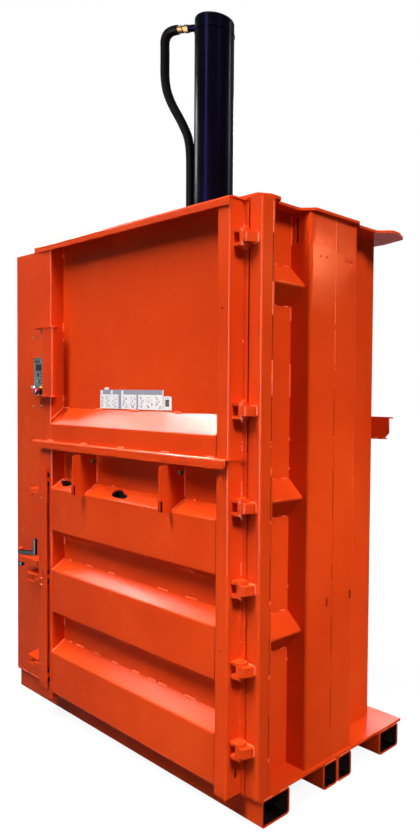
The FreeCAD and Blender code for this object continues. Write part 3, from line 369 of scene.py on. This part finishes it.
lower_welds = Heap()
for z, runs in ((747.5, ((-1322, -1304), (-1167, -1115), (-980, -931), (-609, -540), (-422, -352))),
                (367.5, ((-1322, -1303), (-1260, -1190), (-1105, -1050), (-950, -905), (-790, -740), (-670, -620),
                         (-599, -544), (-424, -354))),
                (1122.5, ((-957, -933), (-375, -362)))):
    for x0, x1 in runs:
        bead(lower_welds, (x0, -1.5, z), (x1, -1.5, z), 3.0, int(z) - x0)
for z0, z1 in ((1166, 1219), (883, 933), (754, 760), (647, 653), (467, 473), (363, 368)):
    bead(lower_welds, (-97, -0.8, z0), (-97, -0.8, z1), 2.3, z0)
for z0, z1 in ((812, 866), (432, 468)):
    bead(lower_welds, (-1371, -1, z0), (-1371, -1, z1), 2.4, z0)
# beads up the slopes' left ends: welds whose lighter enamel paints highlight lines along these edges
for top, front in ((1122, 1080), (747, 703), (367, 321)):
    bead(lower_welds, (-1371, -59, front + 1), (-1371, -2, top), 2.4, top)
for z in (1131, 847, 564, 280):
    for dz in (23, -23):
        bead(lower_welds, (-97, -42, z + dz), (-97, -8, z + dz), 2.0, z + dz)
for x in (-1083, -436):
    for side in (-6.5, 6.5):
        bead(lower_welds, (x + side, -1.5, 1250), (x + side, -1.5, 1130), 2.3, int(-x + side * 2))
    bead(lower_welds, (x + 7, -4, 1121), (x + 7, -57, 1083), 2.2, -x)
piece("lower_door_welds", lower_welds, "orange_paint", "lower_door", True, weld_highlight_paint)

# dark slabs on the front edges of the two strap brackets: painted shade of the slits there
slit_shades = Heap()
slab(slit_shades, -1076.8, -1065.2, -105.4, -105.0, 1083, 1123, 0.1)
slab(slit_shades, -429.8, -418.2, -105.4, -105.0, 1083, 1123, 0.1)
piece("strap_slit_painted_shade", slit_shades, "orange_paint", "lower_door", False, seam_dark)

# dark sheet behind the top channel of the lower door: painted shade inside the channel, seen through its slope holes
scale = Heap()
slab(scale, -1368, -170, -0.6, -0.2, 894, 1112, 0.05)
painted_shade_lining = plastic("painted_shade_lining", "15100E", 0.6, 60.0, 0.2, 0.005)
piece("channel_inside_painted_shade", scale, "orange_paint", "lower_door", False, painted_shade_lining)

# dark linings inside the four base beams, at both ends: painted shade in the open tube ends
linings = Heap()
for y0, y1 in ((21.0, 151.0), (325.5, 404.5), (405.5, 484.5), (662.0, 787.0)):
    for x0, x1 in ((-3.0, -420.0), (-1877.0, -1460.0)):
        sleeve(linings, y0 + 6.2, y1 - 6.2, 6.2, 93.8, 6.8, x0, x1)
piece("beam_inside_painted_shade", linings, "orange_paint", "frame", True, painted_shade_lining)

# stitches on the lock plate wear a darker copy of the orange enamel: painted shade
bar_welds = Heap()
for z in (1061, 1031, 657, 627, 258, 228):
    bead(bar_welds, (-1446, -75.6, z), (-1431, -75.6, z), 1.8, z)
piece("lock_plate_welds", bar_welds, "orange_paint", "lock_bar", True,
      paint("enamel_weld_painted_shade", "A82C0A", "98260A", "B4340E", shine=0.1))
# thin dark strip on the lock plate: painted shade of a slot
slot_shade = Heap()
strip_along(slot_shade, -1425.0, -75.0, 664, 700, "x", 0.3, 2.2)
piece("lock_plate_slot_shade", slot_shade, "orange_paint", "lock_bar", False, seam_dark)

# ---------------------------------------------------------------------------
# Plain white and grey label fields, without words
# ---------------------------------------------------------------------------
label_grey = plastic("label_film_grey", "8A8F9C", 0.42)
label_mark = plastic("label_print_grey", "7A7C82", 0.45)
label_dark = plastic("label_print_dark", "4A4846", 0.45)
cards = ((-1052, -1015), (-1013, -966), (-962, -905), (-882, -823), (-820, -768), (-753, -706), (-704, -641),
         (-639, -584))
strip = Heap()
for x0, x1 in cards:
    slab(strip, x0, x1, -1.8, -1.4, 1456, 1515, 0.2)
slab(strip, -1016, -982, -1.8, -1.4, 1535.5, 1545, 0.2)
for x in (-1040, -958, -874):
    slab(strip, x - 8, x + 8, -2.1, -1.75, 1517, 1532, 0.2)
tag = [(-574, 1507), (-568, 1511), (-532, 1511), (-527, 1506), (-529, 1467), (-548, 1455), (-560, 1458), (-574, 1470)]
strip.take([at(x, y, z) for y in (-1.4, -1.8) for x, z in tag],
           grid_faces(2, 8) + [tuple(range(8)), tuple(range(15, 7, -1))])
piece("label_fields", strip, "label_film", "upper_door", False)
label_bars = Heap()
slab(label_bars, -1053, -584, -1.75, -1.4, 1515.5, 1535, 0.2)
slab(label_bars, -904, -883, -1.75, -1.4, 1453.5, 1515, 0.2)
slab(label_bars, -767, -754, -1.75, -1.4, 1453.5, 1515, 0.2)
piece("label_bars", label_bars, "label_film", "upper_door", False, label_grey)
marks = Heap()
rng = np.random.default_rng(11)
for x0, x1 in cards:
    for k in range(14):
        w, h = rng.uniform(2.5, 7.0), rng.uniform(2.5, 9.0)
        cx = rng.uniform(x0 + 7, x1 - 7 - w)
        cz = 1461 + (k % 6) * 8.0 + rng.uniform(-2, 2)
        slab(marks, cx, cx + w, -2.0, -1.79, cz, cz + h, 0.1)
piece("label_marks", marks, "label_film", "upper_door", False, label_mark)
tag_field = Heap()
slab(tag_field, -562, -536, -2.0, -1.79, 1470, 1498, 0.1)
for x in (-562, -550, -540):
    slab(tag_field, x, x + 5, -2.0, -1.79, 1502, 1506, 0.1)
piece("label_tag_field", tag_field, "label_film", "upper_door", False, label_dark)

# ---------------------------------------------------------------------------
# Control panel: dark head strip and key marks
# ---------------------------------------------------------------------------
panel_dark = plastic("panel_film_dark", "161A1C", 0.4)
panel_marks = Heap()
slab(panel_marks, -1683, -1594, -4.35, -3.95, 1680, 1686, 0.15)
slab(panel_marks, -1668, -1610, -4.35, -3.95, 1660, 1676, 0.15)
for z in (1612, 1597, 1582, 1566, 1548):
    slab(panel_marks, -1606, -1594, -4.35, -3.95, z - 4, z + 4, 0.15)
piece("panel_marks", panel_marks, "panel_grey", "frame", False, panel_dark)

# ---------------------------------------------------------------------------
# Hose: one smooth curve through the same points as the solid one
# ---------------------------------------------------------------------------
hose_plane = (-0.9, -0.436)
hose_sz = ((178, 3167), (215, 3167), (246, 3136), (244, 3068), (245, 2935), (218, 2850), (150, 2740), (115, 2655),
           (113, 2480), (113, 2300))
hose_points = [at(-782.0 + hose_plane[0] * s, 380.0 + hose_plane[1] * s, z) for s, z in hose_sz]
curve = bpy.data.curves.new("hose_tube", "CURVE")
curve.dimensions = "3D"
curve.bevel_depth = 0.020
curve.bevel_resolution = 8
curve.resolution_u = 24
curve.use_fill_caps = True
line = curve.splines.new("NURBS")
line.points.add(len(hose_points) - 1)
for point, place in zip(line.points, hose_points):
    point.co = (place.x, place.y, place.z, 1.0)
line.order_u = 3
line.use_endpoint_u = True
hose = bpy.data.objects.new("hose_tube", curve)
bpy.context.scene.collection.objects.link(hose)
curve.materials.append(materials["hose_rubber"])
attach(hose, "frame")
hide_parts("hose")

# ---------------------------------------------------------------------------
# Floor, light, camera
# ---------------------------------------------------------------------------
mesh = bpy.data.meshes.new("floor")
reach, low = FLOOR_SIZE / 2.0, -0.0005
mesh.from_pydata([(-reach, -reach, low), (reach, -reach, low), (reach, reach, low), (-reach, reach, low)], [],
                 [(0, 1, 2, 3)])
floor = bpy.data.objects.new("floor", mesh)
bpy.context.scene.collection.objects.link(floor)
mat, tree, shader, coords = new_material("studio_floor")
shader.inputs["Base Color"].default_value = gray(0.12)
shader.inputs["Roughness"].default_value = 0.9
shader.inputs["Specular IOR Level"].default_value = 0.0
shader.inputs["Emission Color"].default_value = gray(1.0)
away = add(tree, "ShaderNodeVectorMath", operation="LENGTH", i0=coords)
far = add(tree, "ShaderNodeMapRange", Value=away.outputs[1])
far.inputs["From Min"].default_value = 0.9
far.inputs["From Max"].default_value = 2.6
far.inputs["To Min"].default_value = 0.88
far.inputs["To Max"].default_value = 1.0
paths = add(tree, "ShaderNodeLightPath")
seen = add(tree, "ShaderNodeMath", operation="MAXIMUM", i0=paths.outputs["Is Camera Ray"],
           i1=paths.outputs["Is Transmission Ray"])
seen = add(tree, "ShaderNodeMath", operation="MAXIMUM", i0=seen.outputs[0], i1=paths.outputs["Is Glossy Ray"])
seen = add(tree, "ShaderNodeMath", operation="MULTIPLY", i0=seen.outputs[0], i1=far.outputs[0])
tree.links.new(seen.outputs[0], shader.inputs["Emission Strength"])
floor.data.materials.append(mat)

world = bpy.data.worlds.new("studio")
bpy.context.scene.world = world
world.use_nodes = True
tree = world.node_tree
tree.nodes.clear()
rays = add(tree, "ShaderNodeLightPath")
seen = add(tree, "ShaderNodeBackground", Strength=1.0)
seen.inputs[0].default_value = gray(1.0)
sky = add(tree, "ShaderNodeBackground", Strength=0.04)
sky.inputs[0].default_value = gray(1.0)
either = add(tree, "ShaderNodeMath", operation="MAXIMUM", i0=rays.outputs["Is Camera Ray"],
             i1=rays.outputs["Is Transmission Ray"])
either = add(tree, "ShaderNodeMath", operation="MAXIMUM", i0=either.outputs[0], i1=rays.outputs["Is Glossy Ray"])
pick = add(tree, "ShaderNodeMixShader", i0=either.outputs[0], i1=sky.outputs[0], i2=seen.outputs[0])
world_out = add(tree, "ShaderNodeOutputWorld")
tree.links.new(pick.outputs[0], world_out.inputs[0])


def lamp(name, place, aim, size, power, gloss_only=False, tint=(1.0, 1.0, 1.0), spread=180.0):
    """Softbox at place, turned to aim; gloss_only shows it in reflections alone, spread is its grid in degrees."""
    data = bpy.data.lights.new(name, "AREA")
    data.shape = "RECTANGLE"
    data.size, data.size_y = size
    data.energy = power
    data.color = tint
    data.spread = math.radians(spread)
    obj = bpy.data.objects.new(name, data)
    obj.location = place
    obj.rotation_euler = (Vector(aim) - Vector(place)).to_track_quat("-Z", "Y").to_euler()
    obj.visible_camera = False
    obj.visible_diffuse = not gloss_only
    bpy.context.scene.collection.objects.link(obj)
    return obj


lamp("ceiling_front", (0.05, -4.3, 9.3), (0.2, -0.5, 1.1), (2.4, 6.0), 1450.0)
lamp("side_right", (6.7, -1.2, 6.5), (0.5, -0.1, 1.2), (1.5, 2.2), 540.0)
lamp("front_fill", (0.6, -5.6, 1.6), (0.0, 0.0, 1.1), (2.0, 2.0), 6.0)
lamp("front_low", (0.5, -3.8, 6.3), (0.7, -0.5, -0.2), (1.0, 1.0), 3.4, spread=20.0)
lamp("side_low", (5.4, -0.8, 5.0), (0.94, 0.0, 0.9), (0.6, 0.6), 1.6, spread=16.0)
lamp("rear_low", (1.8, 3.6, 4.4), (0.93, 0.4, 0.1), (0.5, 0.5), 1.5, spread=14.0)
lamp("rear_fill", (-4.5, 4.5, 4.5), (0.0, 0.0, 1.0), (2.0, 2.0), 220.0)
lamp("slope_sheen", (-3.0, -1.28, 3.9), (0.3, -0.5, 0.9), (1.0, 0.8), 70.0, True)
lamp("slope_shine", (-4.2, -1.9, 4.2), (0.3, -0.5, 0.9), (1.2, 1.0), 280.0, True)
lamp("slope_glow", (-2.8, -1.12, 2.82), (0.65, -0.5, 0.3), (0.6, 0.6), 4.5, True, spread=20.0)
lamp("slope_glare", (-1.9, -0.57, 3.15), (0.58, -0.49, 1.41), (0.3, 0.3), 8.0, True, spread=14.0)
lamp("plate_glare", (-1.36, 3.11, 1.83), (0.9, 0.31, 0.1), (0.5, 0.5), 0.4, True, spread=12.0)
lamp("column_glare", (3.0, 1.6, 2.65), (0.93, -0.13, 1.97), (0.15, 0.15), 4.0, True, (1.0, 0.30, 0.12), 9.0)
lamp("edge_strip", (0.6, -4.2, 1.5), (0.6, -0.4, 1.5), (1.4, 3.0), 7000.0, True)
lamp("cylinder_strip", (0.6, -4.2, 4.4), (0.2, 0.0, 2.8), (0.12, 2.4), 1000.0, True)
lamp("cylinder_edge", (1.78, 3.34, 4.19), (0.24, -0.04, 2.74), (0.1, 1.4), 260.0, True)


def photo_camera():
    """Camera fitted to the straight edges of the photographed machine."""
    focal, px, py = 679.45, 404.25, 422.59
    yaw, pitch, roll = math.radians(37.627), math.radians(1.8747), math.radians(0.9369)
    ahead = Vector((-math.sin(yaw), math.cos(yaw), 0.0))
    right = Vector((math.cos(yaw), math.sin(yaw), 0.0))
    up = Vector((0.0, 0.0, 1.0))
    look = ahead * math.cos(pitch) - up * math.sin(pitch)
    up = up * math.cos(pitch) + ahead * math.sin(pitch)
    across = right * math.cos(roll) + up * math.sin(roll)
    up = up * math.cos(roll) - right * math.sin(roll)
    data = bpy.data.cameras.new("camera")
    data.sensor_width = SENSOR
    data.lens = focal / PHOTO_HEIGHT * SENSOR
    data.shift_x = -(px - PHOTO_WIDTH / 2.0) / PHOTO_HEIGHT
    data.shift_y = (py - PHOTO_HEIGHT / 2.0) / PHOTO_HEIGHT
    data.clip_end = 100.0
    obj = bpy.data.objects.new("camera", data)
    rot = Matrix((across, up, -look)).transposed().to_4x4()
    obj.matrix_world = Matrix.Translation(at(1797.78, -1533.01, 1510.23)) @ rot
    bpy.context.scene.collection.objects.link(obj)
    bpy.context.scene.camera = obj


photo_camera()
bpy.context.scene.view_settings.view_transform = "Standard"
